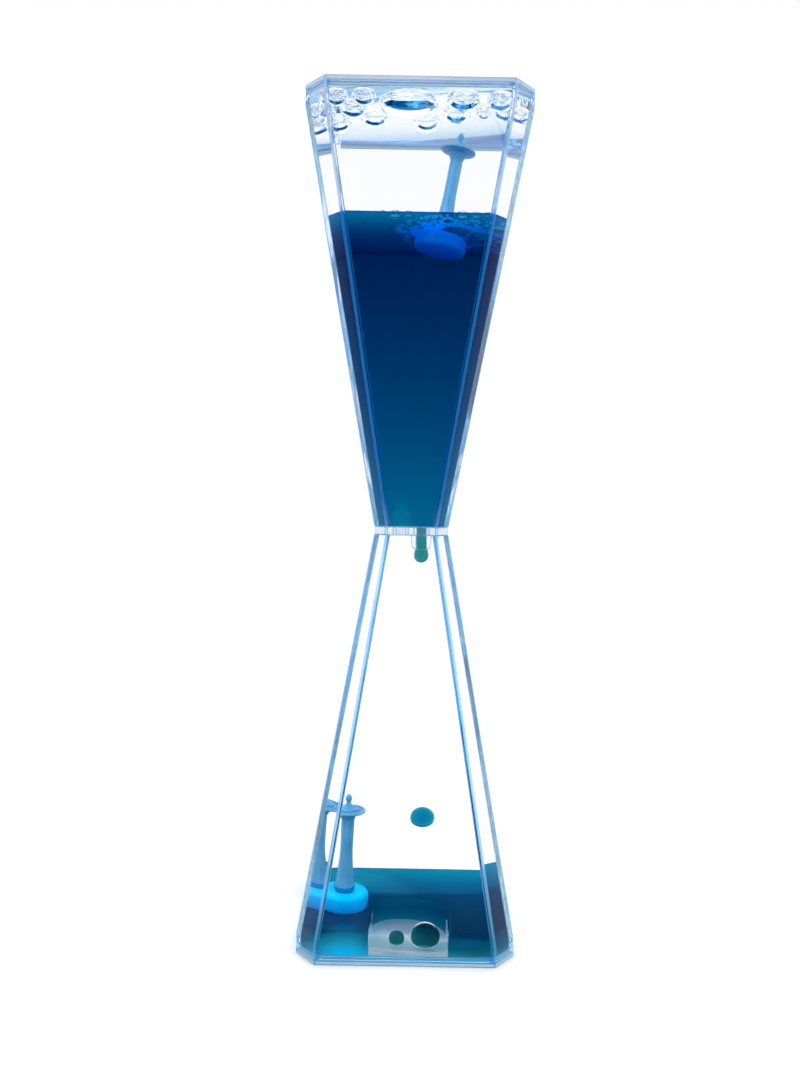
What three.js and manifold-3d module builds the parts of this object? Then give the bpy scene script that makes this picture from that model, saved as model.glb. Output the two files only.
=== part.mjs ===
// A clear hourglass motion timer: two tapered chambers joined at a narrow waist,
// filled with clear oil over blue-dyed water, with a small floating tower in each.
// Millimetres, +Z up. The origin is the middle of the bottom face.
import * as THREE from 'three';
import { mergeVertices } from 'three/addons/utils/BufferGeometryUtils.js';
import Module from 'manifold-3d';

const wasm = await Module();
wasm.setup();

// Case: overall sizes
const caseHeight = 180;
const endWidth = 46.4;
const endDepth = 40;
const endChamfer = 4.4;
const waistWidth = 16.2;
const waistDepth = 14;
const waistChamfer = 2.8;
const wallThickness = 1.8;
const endBand = 4; // straight-sided rim at each wide end
const capFlange = 1;
const capPlug = 0.6; // raised pad that locates the cap in the chamber's mouth
const fitGap = 0.3; // running and glue clearance between neighbouring pieces

// Waist: divider plate and its two nozzles
const dividerThickness = 1.8;
const nozzleOffset = 2.2;
const nozzleLength = 4.2;
const nozzleShoulderRadius = 2.5;
const nozzleTipRadius = 2;
const nozzleSpigotRadius = 1.75;
const nozzleBoreRadius = 1.15;

// Places inside a chamber are [across, back]: across is a share of the inner half width
// at that height, and back is the distance from the inner face of the front wall.

// Fill plug in the bottom cap
const fillPlugRadius = 1.6;
const fillPlugSpot = [-0.6, 23.5];

// Liquids
const upperOilDepth = 22.9;
const poolDepth = 4.8;
const hangingDropRadius = 1.65;
const hangingDropLength = 2.9;
const fallingDropRadius = 2.8;
const fallingDropHeight = 4.3;
const fallingDropFall = 59.9; // how far the drop has fallen below the nozzle's tip
const fallingDropDrift = new THREE.Vector2(1.2, -1);

// Floating tower, one in each chamber
const floatRadius = 5.35;
const floatThickness = 3.1;
const floatEdge = 0.5;
const socketRadius = 1.9;
const socketDepth = 2.3;
const ballastHeight = 1;
const columnFootRadius = 2.15;
const columnWaistRadius = 1.2;
const columnCollarRadius = 2.1;
// How the column narrows from its foot: share of the narrowing, share of its height
const columnCurve = [[0.45, 0.28], [0.8, 0.45], [1, 0.62], [1, 0.9]];
const deckHeight = 20.2; // underside of the deck above the float's bottom
const deckRadius = 3.6;
const deckRim = 0.7;
const deckRounding = 0.2;
const parapetWidth = 0.6;
const cabinRadius = 2.1;
const cabinHeight = 0.9;
const cabinRounding = 0.25;
const mastRadius = 0.55;
const mastHeight = 2.6;
const mastFootFlare = 0.2;
const upperFigureSpot = [0.266, 11.8];
const upperFigureTilt = 10;
const upperFigureDraught = 4.5; // depth of the float's bottom below the water
const lowerFigureSpot = [-0.619, 26];
const lowerFigureTilt = 2;
const lowerFigureDraught = 3.9;

// Bubbles trapped under the top cap: across, back and radius of each
const capBubbles = [
  [-0.097, 6.8, 6.1],
  [-0.512, 3.4, 2.45],
  [-0.762, 4, 2.4],
  [0.395, 4.4, 3.5],
  [0.735, 4.4, 2.8],
  [-0.606, 9.2, 2.9],
  [0.34, 11.2, 3],
  [0.794, 10.6, 2.6],
  [-0.413, 14.2, 3],
  [0.069, 16.3, 3],
  [-0.762, 17.9, 2.9],
];
const flatBubbleDepth = 3.1; // a wide bubble is flattened to this

// Bubbles floating on the upper water: across, back and radius of each
const surfaceBubbles = [
  [-0.26, 2.2, 1.3],
  [0.509, 2.3, 1.4],
  [0.667, 2.1, 1.2],
  [0.803, 16.9, 2],
  [0.842, 8.1, 1.8],
];
const surfaceBubbleFlatness = 0.7;

// The clear bay at the pool's front edge, and the loose drops lying in it:
// distance from the bay's middle, distance back, radius and height of each
const bayHalfWidth = 8.4;
const bayDepth = 19.1;
const bayCentre = 0.6;
const bayStraight = 0.5; // share of the depth where the right side runs straight
const bayRoundness = [0.7, 0.5]; // pull of the back curve to the left and to the right
const bayLeftSlant = [1, 5]; // how far the left side leans in, across and back
const bayOpening = 1; // how far the bay runs out through the front wall's line
const looseDrops = [
  [-2.3, 7, 1.8, 2.6],
  [3.7, 7, 3.4, 4.2],
];

// Faces round each turned shape
const roundFaces = 20;
const bubbleFaces = 12;
const bubbleRings = 4;

const waistHeight = caseHeight / 2;
const taperLength = waistHeight - endBand;
const dividerTop = waistHeight + dividerThickness / 2;
const dividerBottom = waistHeight - dividerThickness / 2;
const floorHeight = capFlange + capPlug;
const ceilingHeight = caseHeight - floorHeight;
const upperWaterLevel = ceilingHeight - upperOilDepth;
const poolLevel = floorHeight + poolDepth;
const nozzleTipHeight = dividerBottom - nozzleLength;
const fallingDropPlace = new THREE.Vector3(
  nozzleOffset + fallingDropDrift.x,
  fallingDropDrift.y,
  nozzleTipHeight - fallingDropFall,
);

// Solids and back again

function toSolid(geometry) {
  const plain = geometry.clone();
  plain.deleteAttribute('normal');
  plain.deleteAttribute('uv');
  const merged = mergeVertices(plain, 1e-4);
  return new wasm.Manifold(new wasm.Mesh({
    numProp: 3,
    vertProperties: new Float32Array(merged.attributes.position.array),
    triVerts: new Uint32Array(merged.index.array),
  }));
}

function toGeometry(solid) {
  const mesh = solid.getMesh();
  const geometry = new THREE.BufferGeometry();
  geometry.setAttribute('position', new THREE.BufferAttribute(mesh.vertProperties, mesh.numProp));
  geometry.setIndex(new THREE.BufferAttribute(mesh.triVerts, 1));
  return geometry;
}

// Sections: rectangles with their corners cut at 45 degrees

function outerSection(height) {
  const share = Math.abs(height - waistHeight) / taperLength;
  return {
    width: THREE.MathUtils.lerp(waistWidth, endWidth, share),
    depth: THREE.MathUtils.lerp(waistDepth, endDepth, share),
    chamfer: THREE.MathUtils.lerp(waistChamfer, endChamfer, share),
  };
}

function insetSection(section, inset) {
  return {
    width: section.width - 2 * inset,
    depth: section.depth - 2 * inset,
    chamfer: section.chamfer - inset * (2 - Math.SQRT2),
  };
}

function innerSection(height, gap = 0) {
  return insetSection(outerSection(height), wallThickness + gap);
}

// The point that lies across and back in the chamber at a height.
function roomPlace([across, back], height) {
  const room = innerSection(height);
  return new THREE.Vector3(across * room.width / 2, back - room.depth / 2, height);
}

function corners({ width, depth, chamfer }) {
  const x = width / 2;
  const y = depth / 2;
  return [
    new THREE.Vector2(x - chamfer, -y),
    new THREE.Vector2(x, -y + chamfer),
    new THREE.Vector2(x, y - chamfer),
    new THREE.Vector2(x - chamfer, y),
    new THREE.Vector2(-x + chamfer, y),
    new THREE.Vector2(-x, y - chamfer),
    new THREE.Vector2(-x, -y + chamfer),
    new THREE.Vector2(-x + chamfer, -y),
  ];
}

// A block between two sections, tapering evenly from one to the other.
function taperedBlock(lowSection, highSection, lowHeight, highHeight) {
  const lowCorners = corners(lowSection);
  const highCorners = corners(highSection);
  const shape = new THREE.Shape(lowCorners);
  const depth = highHeight - lowHeight;
  const geometry = new THREE.ExtrudeGeometry(shape, { depth, steps: 1, bevelEnabled: false });
  const position = geometry.attributes.position;
  const point = new THREE.Vector2();
  for (let i = 0; i < position.count; i += 1) {
    if (position.getZ(i) > depth / 2) {
      point.set(position.getX(i), position.getY(i));
      const distances = lowCorners.map((corner) => corner.distanceToSquared(point));
      const match = highCorners[distances.indexOf(Math.min(...distances))];
      position.setXY(i, match.x, match.y);
    }
  }
  geometry.translate(0, 0, lowHeight);
  return geometry;
}

function chamberBlock(lowHeight, highHeight, gap) {
  const low = innerSection(lowHeight, gap);
  const high = innerSection(highHeight, gap);
  return toSolid(taperedBlock(low, high, lowHeight, highHeight));
}

// Turned shapes stand on +Z. A profile is a list of [radius, height] pairs.

function turned(profile, faces = roundFaces) {
  const points = profile.map(([radius, height]) => new THREE.Vector2(radius, height));
  return new THREE.LatheGeometry(points, faces).rotateX(Math.PI / 2);
}

function rod(radius, lowHeight, highHeight, faces = roundFaces) {
  return turned([[0, lowHeight], [radius, lowHeight], [radius, highHeight], [0, highHeight]], faces);
}

// Case

function chamberShell(mouthHeight, dividerHeight) {
  const upward = mouthHeight > dividerHeight;
  const bandEdge = upward ? caseHeight - endBand : endBand;
  const low = Math.min(dividerHeight, bandEdge);
  const high = Math.max(dividerHeight, bandEdge);
  const body = toSolid(taperedBlock(outerSection(low), outerSection(high), low, high));
  const rim = outerSection(bandEdge);
  const bandLow = Math.min(bandEdge, mouthHeight);
  const bandHigh = Math.max(bandEdge, mouthHeight);
  const band = toSolid(taperedBlock(rim, rim, bandLow, bandHigh));
  const boreLow = upward ? dividerHeight - fitGap : mouthHeight - fitGap;
  const boreHigh = upward ? mouthHeight + fitGap : dividerHeight + fitGap;
  return toGeometry(body.add(band).subtract(chamberBlock(boreLow, boreHigh, 0)));
}

function endCap(outerFace, drillHole) {
  const inward = outerFace > waistHeight ? -1 : 1;
  const flangeFace = outerFace + inward * capFlange;
  const plugFace = outerFace + inward * (capFlange + capPlug);
  const rim = outerSection(endBand);
  const flangeHeights = [outerFace, flangeFace].sort((a, b) => a - b);
  const plugHeights = [flangeFace, plugFace].sort((a, b) => a - b);
  const mouth = innerSection(plugFace, fitGap);
  const flange = toSolid(taperedBlock(rim, rim, ...flangeHeights));
  const plug = toSolid(taperedBlock(mouth, mouth, ...plugHeights));
  const cap = flange.add(plug);
  if (!drillHole) {
    return toGeometry(cap);
  }
  const place = roomPlace(fillPlugSpot, floorHeight);
  const hole = rod(fillPlugRadius + fitGap, -1, floorHeight + 1).translate(place.x, place.y, 0);
  return toGeometry(cap.subtract(toSolid(hole)));
}

function fillPlug() {
  const headRadius = fillPlugRadius + fitGap / 2;
  const place = roomPlace(fillPlugSpot, floorHeight);
  return turned([
    [0, fitGap],
    [fillPlugRadius, fitGap],
    [fillPlugRadius, floorHeight / 2],
    [headRadius, floorHeight / 2],
    [headRadius, floorHeight],
    [0, floorHeight],
  ]).translate(place.x, place.y, 0);
}

function dividerPlate() {
  const outline = outerSection(waistHeight);
  let plate = toSolid(taperedBlock(outline, outline, dividerBottom, dividerTop));
  for (const side of [-1, 1]) {
    const hole = rod(nozzleSpigotRadius + fitGap, dividerBottom - 1, dividerTop + 1);
    hole.translate(side * nozzleOffset, 0, 0);
    plate = plate.subtract(toSolid(hole));
  }
  return toGeometry(plate);
}

// One nozzle, standing on the plate's top face: a spigot in the plate, a shoulder and a tapered tip.
function nozzle() {
  const shoulder = dividerTop + fitGap;
  const tip = dividerTop + nozzleLength;
  return turned([
    [nozzleBoreRadius, dividerBottom],
    [nozzleSpigotRadius, dividerBottom],
    [nozzleSpigotRadius, shoulder],
    [nozzleShoulderRadius, shoulder],
    [nozzleTipRadius, tip],
    [nozzleBoreRadius, tip],
    [nozzleBoreRadius, dividerBottom],
  ]);
}

function nozzleClearance() {
  const radius = nozzleShoulderRadius + fitGap;
  return rod(radius, dividerTop, dividerTop + nozzleLength + fitGap);
}

// Floating tower, upright with the middle of the float's bottom at its origin

function floatBase() {
  const inner = floatRadius - floatEdge;
  const body = turned([
    [0, 0],
    [inner, 0],
    [floatRadius, floatEdge],
    [floatRadius, floatThickness - floatEdge],
    [inner, floatThickness],
    [0, floatThickness],
  ]);
  const socket = rod(socketRadius, floatThickness - socketDepth, floatThickness + 1);
  return toGeometry(toSolid(body).subtract(toSolid(socket)));
}

function floatBallast() {
  const bottom = floatThickness - socketDepth + fitGap / 2;
  return rod(socketRadius - fitGap, bottom, bottom + ballastHeight);
}

function towerColumn() {
  const spigot = socketRadius - fitGap;
  const foot = floatThickness + fitGap / 2;
  const spigotEnd = floatThickness - socketDepth + fitGap + ballastHeight;
  const top = deckHeight - fitGap / 2;
  const curve = columnCurve.map(([narrowing, height]) => [
    THREE.MathUtils.lerp(columnFootRadius, columnWaistRadius, narrowing),
    THREE.MathUtils.lerp(foot, top, height),
  ]);
  return turned([
    [0, spigotEnd],
    [spigot, spigotEnd],
    [spigot, foot],
    [columnFootRadius, foot],
    ...curve,
    [columnCollarRadius, top],
    [0, top],
  ]);
}

function towerDeck() {
  const rimTop = deckHeight + deckRim;
  const cabinTop = rimTop + cabinHeight;
  return turned([
    [0, deckHeight],
    [columnCollarRadius, deckHeight],
    [deckRadius - deckRounding, deckHeight + deckRounding],
    [deckRadius, deckHeight + 2 * deckRounding],
    [deckRadius - deckRounding / 2, rimTop],
    [deckRadius - parapetWidth, rimTop],
    [cabinRadius, rimTop - deckRounding],
    [cabinRadius - cabinRounding, cabinTop - cabinRounding],
    [mastRadius + 2 * mastFootFlare, cabinTop],
    [0, cabinTop],
  ]);
}

function towerMast() {
  const foot = deckHeight + deckRim + cabinHeight + fitGap / 2;
  return turned([
    [0, foot],
    [mastRadius + mastFootFlare, foot],
    [mastRadius, foot + 2 * mastFootFlare],
    [mastRadius, foot + 0.6 * mastHeight],
    [mastRadius + mastFootFlare / 2, foot + 0.75 * mastHeight],
    [0.6 * mastRadius, foot + mastHeight],
    [0, foot + mastHeight],
  ], bubbleFaces);
}

// The room that the liquids leave round a tower.
function towerClearance() {
  const gap = fitGap + 0.1;
  const deckTop = deckHeight + deckRim + gap;
  const mastTop = deckHeight + deckRim + cabinHeight + mastHeight + gap + fitGap;
  return turned([
    [0, -gap],
    [floatRadius + gap, -gap],
    [floatRadius + gap, floatThickness + gap],
    [columnFootRadius + gap, floatThickness + gap],
    [columnWaistRadius + 2 * gap, deckHeight * 0.6],
    [columnWaistRadius + 2 * gap, deckHeight * 0.88],
    [columnCollarRadius + gap, deckHeight - gap],
    [deckRadius + gap, deckHeight - gap],
    [deckRadius + gap, deckTop],
    [cabinRadius + gap, deckTop + cabinHeight],
    [mastRadius + 2 * gap, deckTop + cabinHeight],
    [mastRadius + 2 * gap, mastTop],
    [0, mastTop],
  ], roundFaces);
}

// Each tower leans about the Y axis by its tilt.
function figureFrame(spot, floatBottom, tilt) {
  const frame = new THREE.Group();
  frame.position.copy(roomPlace(spot, floatBottom));
  frame.rotation.y = THREE.MathUtils.degToRad(tilt);
  frame.updateMatrix();
  return frame;
}

const upperFigureFrame = figureFrame(
  upperFigureSpot,
  upperWaterLevel - upperFigureDraught,
  upperFigureTilt,
);
const lowerFigureFrame = figureFrame(
  lowerFigureSpot,
  poolLevel - lowerFigureDraught,
  lowerFigureTilt,
);

function placedTowerRoom(frame) {
  return toSolid(towerClearance().applyMatrix4(frame.matrix));
}

// Bubbles and drops

// A dome that hangs under the cap; grow widens it all round.
function capBubble([across, back, radius], grow = 0) {
  const place = roomPlace([across, back], ceilingHeight);
  const top = ceilingHeight - fitGap;
  const depth = Math.min(radius * 1.05, flatBubbleDepth) + grow;
  const profile = [[0, top - depth]];
  for (let ring = 1; ring < bubbleRings; ring += 1) {
    const angle = (ring / bubbleRings) * Math.PI / 2;
    const around = (radius + grow) * Math.sin(angle);
    profile.push([around, top - depth * Math.cos(angle)]);
  }
  profile.push([radius + grow, top + grow], [0, top + grow]);
  return turned(profile, bubbleFaces).translate(place.x, place.y, 0);
}

function ball(radius, height, faces = bubbleFaces) {
  const profile = [];
  const rings = 2 * bubbleRings;
  for (let ring = 0; ring <= rings; ring += 1) {
    const angle = (ring / rings) * Math.PI;
    profile.push([radius * Math.sin(angle), -height / 2 * Math.cos(angle)]);
  }
  profile[0][0] = 0;
  profile[rings][0] = 0;
  return turned(profile, faces);
}

function surfaceBubble([across, back, radius], grow = 0) {
  const place = roomPlace([across, back], upperWaterLevel);
  const height = 2 * (radius * surfaceBubbleFlatness + grow);
  return ball(radius + grow, height).translate(place.x, place.y, place.z);
}

function looseDrop([aside, back, radius, height], grow = 0) {
  const place = roomPlace([0, back], floorHeight);
  const bottom = floorHeight + (grow > 0 ? 0 : fitGap);
  const profile = [[0, bottom], [0.8 * (radius + grow), bottom]];
  for (let ring = 1; ring < bubbleRings; ring += 1) {
    const angle = (ring / bubbleRings) * Math.PI / 2;
    const rise = (height + grow) * Math.sin(angle);
    profile.push([(radius + grow) * Math.cos(angle * 0.9), bottom + 0.1 + rise]);
  }
  profile.push([0, bottom + 0.1 + height + grow]);
  return turned(profile, bubbleFaces + bubbleRings).translate(bayCentre + aside, place.y, 0);
}

function hangingDrop() {
  const stem = nozzleBoreRadius - fitGap;
  const tip = nozzleTipHeight - fitGap;
  return turned([
    [0, tip - hangingDropLength],
    [0.6 * hangingDropRadius, tip - 0.9 * hangingDropLength],
    [hangingDropRadius, tip - 0.55 * hangingDropLength],
    [0.85 * hangingDropRadius, tip - 0.2 * hangingDropLength],
    [stem, tip],
    [stem, dividerTop],
    [0, dividerTop],
  ], bubbleFaces + bubbleRings).translate(nozzleOffset, 0, 0);
}

function fallingDrop() {
  const { x, y, z } = fallingDropPlace;
  return ball(fallingDropRadius, fallingDropHeight, roundFaces).translate(x, y, z);
}

// The drop's way down through the lower oil, from the drip nozzle to the pool.
function dropWay() {
  const start = new THREE.Vector3(nozzleOffset, 0, dividerBottom);
  const fall = new THREE.Vector3().subVectors(fallingDropPlace, start);
  const reach = fall.multiplyScalar((dividerBottom - poolLevel) / (dividerBottom - fallingDropPlace.z));
  const radius = fallingDropRadius + fitGap;
  const down = new THREE.Vector3(0, 0, -1);
  const lean = new THREE.Quaternion().setFromUnitVectors(down, reach.clone().normalize());
  const way = rod(radius, -reach.length(), 0).applyQuaternion(lean);
  return toSolid(way.translate(start.x, start.y, start.z));
}

// Liquids

function bay(grow = 0) {
  const half = bayHalfWidth - grow;
  const wall = -innerSection(floorHeight).depth / 2;
  const front = wall - bayOpening;
  const back = wall + bayDepth - grow;
  const left = bayCentre - half;
  const right = bayCentre + half;
  const [leftPull, rightPull] = bayRoundness.map((pull) => pull * half);
  const [slantIn, slantBack] = bayLeftSlant;
  const shape = new THREE.Shape();
  shape.moveTo(left, front);
  shape.lineTo(right, front);
  shape.lineTo(right, front + bayStraight * bayDepth);
  shape.bezierCurveTo(right, back, bayCentre + rightPull, back, bayCentre, back);
  shape.bezierCurveTo(bayCentre - leftPull, back, left + slantIn, back - slantBack, left, front);
  const depth = poolLevel + 2;
  return new THREE.ExtrudeGeometry(shape, { depth, curveSegments: 6, bevelEnabled: false });
}

// The pool fills the floor except for the bay; grow is the room the oil leaves round it.
function pool(grow = 0) {
  const bottom = floorHeight + (grow > 0 ? 0 : fitGap);
  const gap = grow > 0 ? 0 : fitGap;
  return chamberBlock(bottom, poolLevel + grow, gap).subtract(toSolid(bay(grow)));
}

function upperWater() {
  let water = chamberBlock(dividerTop + fitGap, upperWaterLevel - fitGap / 2, fitGap);
  const nozzleRoom = nozzleClearance().translate(-nozzleOffset, 0, 0);
  water = water.subtract(toSolid(nozzleRoom)).subtract(placedTowerRoom(upperFigureFrame));
  for (const bubble of surfaceBubbles) {
    water = water.subtract(toSolid(surfaceBubble(bubble, fitGap)));
  }
  return toGeometry(water);
}

function upperOil() {
  let oil = chamberBlock(upperWaterLevel + fitGap / 2, ceilingHeight - fitGap, fitGap);
  oil = oil.subtract(placedTowerRoom(upperFigureFrame));
  for (const bubble of capBubbles) {
    oil = oil.subtract(toSolid(capBubble(bubble, fitGap)));
  }
  for (const bubble of surfaceBubbles) {
    oil = oil.subtract(toSolid(surfaceBubble(bubble, fitGap)));
  }
  return toGeometry(oil);
}

function lowerWater() {
  return toGeometry(pool().subtract(placedTowerRoom(lowerFigureFrame)));
}

function lowerOil() {
  let oil = chamberBlock(floorHeight + fitGap, dividerBottom - fitGap, fitGap);
  oil = oil.subtract(pool(fitGap)).subtract(placedTowerRoom(lowerFigureFrame));
  oil = oil.subtract(dropWay());
  for (const drop of looseDrops) {
    oil = oil.subtract(toSolid(looseDrop(drop, fitGap)));
  }
  return toGeometry(oil);
}

// Materials

function finish(color, roughness, metalness = 0, opacity = 1) {
  return new THREE.MeshStandardMaterial({
    color, roughness, metalness, opacity, transparent: opacity < 1,
  });
}

const clearPlastic = () => finish(0xdce8f2, 0.04, 0, 0.3);
const clearOil = () => finish(0xf2f4f0, 0.02, 0, 0.12);
const dyedWater = () => finish(0x04507c, 0.04, 0, 0.8);
const airBubble = () => finish(0xffffff, 0.02, 0, 0.2);
const paleBlueFigure = () => finish(0x8fc0e4, 0.42);
const blueFloat = () => finish(0x2aa9f0, 0.4);
const ballastSteel = () => finish(0x8c8f94, 0.35, 0.9);

const timer = new THREE.Group();

function addPiece(name, geometry, material, parent = timer) {
  const mesh = new THREE.Mesh(geometry, material);
  mesh.name = name;
  parent.add(mesh);
  return mesh;
}

addPiece('upper_chamber_shell', chamberShell(caseHeight - capFlange, dividerTop), clearPlastic());
addPiece('lower_chamber_shell', chamberShell(capFlange, dividerBottom), clearPlastic());
addPiece('top_end_cap', endCap(caseHeight, false), clearPlastic());
addPiece('bottom_end_cap', endCap(0, true), clearPlastic());
addPiece('fill_plug', fillPlug(), clearPlastic());
addPiece('divider_plate', dividerPlate(), clearPlastic());
addPiece('rising_nozzle', nozzle(), clearPlastic()).position.x = -nozzleOffset;
const dripNozzle = addPiece('drip_nozzle', nozzle(), clearPlastic());
dripNozzle.position.set(nozzleOffset, 0, caseHeight);
dripNozzle.rotation.y = Math.PI;

for (const [chamber, frame] of [['upper', upperFigureFrame], ['lower', lowerFigureFrame]]) {
  addPiece(`${chamber}_float_base`, floatBase(), blueFloat(), frame);
  addPiece(`${chamber}_float_ballast`, floatBallast(), ballastSteel(), frame);
  addPiece(`${chamber}_tower_column`, towerColumn(), paleBlueFigure(), frame);
  addPiece(`${chamber}_tower_deck`, towerDeck(), paleBlueFigure(), frame);
  addPiece(`${chamber}_tower_mast`, towerMast(), paleBlueFigure(), frame);
  timer.add(frame);
}

addPiece('upper_dyed_water', upperWater(), dyedWater());
addPiece('upper_clear_oil', upperOil(), clearOil());
addPiece('lower_dyed_water', lowerWater(), dyedWater());
addPiece('lower_clear_oil', lowerOil(), clearOil());
addPiece('hanging_drop', hangingDrop(), dyedWater());
addPiece('falling_drop', fallingDrop(), dyedWater());
looseDrops.forEach((drop, index) => {
  addPiece(`loose_drop_${index + 1}`, looseDrop(drop), dyedWater());
});

capBubbles.forEach((bubble, index) => {
  addPiece(`cap_bubble_${index + 1}`, capBubble(bubble), airBubble());
});
surfaceBubbles.forEach((bubble, index) => {
  addPiece(`surface_bubble_${index + 1}`, surfaceBubble(bubble), airBubble());
});

export default timer;
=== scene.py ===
# Clear hourglass motion timer: blue water drips through a waist into clear oil,
# and a small lookout tower floats in each chamber.
import math
import random

import bmesh
import bpy
from mathutils import Matrix, Vector


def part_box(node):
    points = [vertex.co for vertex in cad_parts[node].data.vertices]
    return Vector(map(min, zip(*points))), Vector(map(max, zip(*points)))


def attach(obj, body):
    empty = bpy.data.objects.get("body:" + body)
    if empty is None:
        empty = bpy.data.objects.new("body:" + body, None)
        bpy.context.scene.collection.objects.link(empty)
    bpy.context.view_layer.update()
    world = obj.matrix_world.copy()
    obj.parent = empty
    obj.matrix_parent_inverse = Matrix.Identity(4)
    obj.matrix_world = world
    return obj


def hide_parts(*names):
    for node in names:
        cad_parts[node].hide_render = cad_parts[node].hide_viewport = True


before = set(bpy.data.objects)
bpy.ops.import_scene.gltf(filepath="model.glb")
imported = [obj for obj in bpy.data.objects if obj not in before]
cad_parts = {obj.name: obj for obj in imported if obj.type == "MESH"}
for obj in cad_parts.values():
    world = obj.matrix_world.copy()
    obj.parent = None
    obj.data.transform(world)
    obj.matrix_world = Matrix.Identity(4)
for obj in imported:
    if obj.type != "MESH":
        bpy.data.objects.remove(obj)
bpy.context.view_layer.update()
mm = 0.001

case = {
    "height": 180,
    "endWidth": 46.4,
    "endDepth": 40,
    "endCorner": 4.4,
    "waistWidth": 16.2,
    "waistDepth": 14,
    "waistCorner": 2.8,
    "wall": 1.8,
    "endBand": 4,  # straight rim at each wide end
    "capFlange": 1,
    "capPad": 0.6,
    "capGap": 0.3,
    "jointLine": 0.02,  # hairline at every glued joint
    "edgeRound": 0.4,
    "rimRound": 0.22,
    "dividerHalf": 0.9,
    "plateRound": 0.15,
}
upright = 0.95  # a direction counts as vertical from this share on
middle = case["height"] / 2
dividerTop = middle + case["dividerHalf"]
dividerBottom = middle - case["dividerHalf"]
floorTop = case["capFlange"] + case["capPad"]
ceiling = case["height"] - floorTop
waterClimb = 0.15  # the water's rim stands above the flat top of the CAD's water
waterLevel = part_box("upper_dyed_water")[1].z / mm + waterClimb
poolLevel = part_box("lower_dyed_water")[1].z / mm


# Modelling helpers

def clearSelection():
    bpy.ops.object.select_all(action="DESELECT")


def openMesh(piece):
    clearSelection()
    piece.select_set(True)
    bpy.context.view_layer.objects.active = piece
    bpy.ops.object.mode_set(mode="EDIT")


def closeMesh():
    bpy.ops.object.mode_set(mode="OBJECT")


def fixPlace(piece):
    # puts the place, turn and scale into the mesh
    clearSelection()
    piece.select_set(True)
    bpy.context.view_layer.objects.active = piece
    bpy.ops.object.transform_apply(location=True, rotation=True, scale=True)


def pick(kind, test):
    # selects the points, edges or faces whose middle and direction pass the test
    bpy.ops.mesh.select_mode(type=kind)
    bpy.ops.mesh.select_all(action="DESELECT")
    mesh = bmesh.from_edit_mesh(bpy.context.edit_object.data)
    if kind == "VERT":
        wanted = [point for point in mesh.verts if test(point.co / mm)]
    elif kind == "EDGE":
        wanted = []
        for edge in mesh.edges:
            start, end = (point.co / mm for point in edge.verts)
            if test((start + end) / 2, (end - start).normalized()):
                wanted.append(edge)
    else:
        wanted = [face for face in mesh.faces if test(face.calc_center_median() / mm, face.normal)]
    for part in wanted:
        part.select_set(True)
    mesh.select_flush_mode()
    bmesh.update_edit_mesh(bpy.context.edit_object.data)


def resize(across, deep, high, centre):
    bpy.ops.transform.resize(
        value=(across, deep, high), center_override=Vector(centre) * mm)


def pushUp(rise):
    bpy.ops.mesh.extrude_region_move(TRANSFORM_OT_translate={"value": (0, 0, rise * mm)})


def shape(piece, kind, **settings):
    # adds a modifier and applies it
    clearSelection()
    piece.select_set(True)
    bpy.context.view_layer.objects.active = piece
    modifier = piece.modifiers.new(kind.title(), kind)
    for setting, value in settings.items():
        setattr(modifier, setting, value)
    bpy.ops.object.modifier_apply(modifier=modifier.name)


def roundEdges(piece, width, segments=2, angle=30, material=-1):
    shape(
        piece, "BEVEL", width=width * mm, segments=segments, limit_method="ANGLE",
        angle_limit=math.radians(angle), material=material, use_clamp_overlap=True)


def cutAway(piece, tool):
    shape(piece, "BOOLEAN", operation="DIFFERENCE", solver="EXACT", object=tool)
    bpy.data.objects.remove(tool, do_unlink=True)


roundSmooth = 60  # smoothing angle of drops and bubbles


def tidyMesh(piece, smoothAngle=30):
    openMesh(piece)
    bpy.ops.mesh.select_all(action="SELECT")
    bpy.ops.mesh.remove_doubles(threshold=0.002 * mm)
    bpy.ops.mesh.normals_make_consistent(inside=False)
    closeMesh()
    bpy.ops.object.shade_smooth_by_angle(angle=math.radians(smoothAngle))


def copyOf(piece, name):
    twin = piece.copy()
    twin.data = piece.data.copy()
    twin.name = name
    bpy.context.collection.objects.link(twin)
    return twin


def flipOver(piece):
    # turns a piece of the lower half into its match in the upper half
    openMesh(piece)
    bpy.ops.mesh.select_all(action="SELECT")
    resize(1, 1, -1, (0, 0, middle))
    bpy.ops.mesh.normals_make_consistent(inside=False)
    closeMesh()


def sectionAt(height):
    # outside width, depth and corner cut of the case
    share = min(abs(height - middle) / (middle - case["endBand"]), 1)
    return tuple(
        case["waist" + side] + share * (case["end" + side] - case["waist" + side])
        for side in ("Width", "Depth", "Corner"))


def insideAt(height, gap=0.0):
    inset = case["wall"] + gap
    width, depth, corner = sectionAt(height)
    return width - 2 * inset, depth - 2 * inset, corner - inset * (2 - math.sqrt(2))


def near(first, second):
    return abs(first - second) < 0.01


def fitSection(height, old, new):
    # brings the eight corners at a height from one section to another
    oldWidth, oldDepth, oldCorner = old
    width, depth, corner = new
    pick("VERT", lambda p: near(p.z, height) and near(abs(p.y), oldDepth / 2))
    across = (width / 2 - corner) / (oldWidth / 2 - oldCorner)
    resize(across, depth / oldDepth, 1, (0, 0, height))
    pick("VERT", lambda p: near(p.z, height) and near(abs(p.x), oldWidth / 2))
    deep = (depth / 2 - corner) / (oldDepth / 2 - oldCorner)
    resize(width / oldWidth, deep, 1, (0, 0, height))
    pick("FACE", lambda p, n: near(p.z, height) and n.z > upright)


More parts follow.
